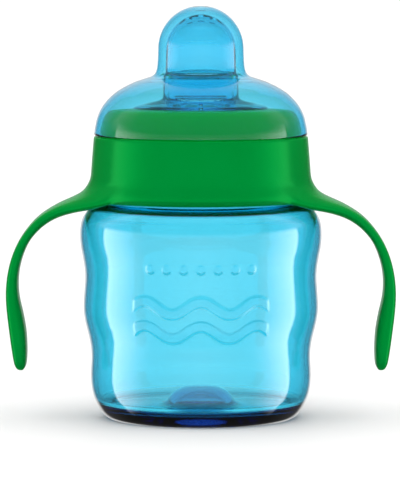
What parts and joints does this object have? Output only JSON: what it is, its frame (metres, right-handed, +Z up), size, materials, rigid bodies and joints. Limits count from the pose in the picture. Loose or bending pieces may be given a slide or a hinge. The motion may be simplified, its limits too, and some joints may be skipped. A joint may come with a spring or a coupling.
{
  "type": "sippy cup",
  "caption": "Clear waisted toddler cup with curved side handles, a screw ring, a hard drinking spout with a soft spill valve, and a domed push-on cap.",
  "frame": {"origin": "centre of the foot ring on the table", "axes": "+Z up the cup's axis, +X towards one handle, +Y away from the side seen in front view"},
  "size_m": [0.1206, 0.0746, 0.127],
  "materials": {
    "cup_clear": "transparent blue polypropylene, gloss",
    "collar_green": "opaque green polypropylene, soft gloss",
    "ring_green": "opaque green polypropylene, soft gloss",
    "spout_clear": "transparent blue polypropylene, gloss",
    "seal_silicone": "translucent white silicone, satin",
    "valve_silicone": "translucent white silicone, satin",
    "cap_clear": "transparent pale blue polypropylene, gloss"
  },
  "bodies": {
    "cup": {"cup_body": "cup_clear"},
    "collar": {"handle_ring": "collar_green"},
    "lid": {"spout": "spout_clear", "seal_ring": "seal_silicone"},
    "ring": {"screw_ring": "ring_green"},
    "valve": {"valve": "valve_silicone"},
    "cap": {"cap": "cap_clear"}
  },
  "joints": [
    {"name": "handle_swivel", "type": "hinge", "parent": "cup", "child": "collar", "pos_m": [0, 0, 0.07], "axis": [0, 0, 1], "continuous": true},
    {"name": "lid_lift", "type": "slide", "parent": "cup", "child": "lid", "axis": [0, 0, 1], "range_m": [0, 0.0096]},
    {"name": "ring_turn", "type": "hinge", "parent": "lid", "child": "ring", "pos_m": [0, 0, 0.09], "axis": [0, 0, 1], "range_deg": [0, 580]},
    {"name": "cap_pull", "type": "slide", "parent": "ring", "child": "cap", "axis": [0, 0, 1], "range_m": [0, 0.045]},
    {"name": "valve_pull", "type": "slide", "parent": "lid", "child": "valve", "axis": [0, 0, -1], "range_m": [0, 0.02]}
  ],
  "couplings": [
    {"joint": "ring_turn", "follows": "lid_lift", "rad_per_m": 1047.2}
  ]
}
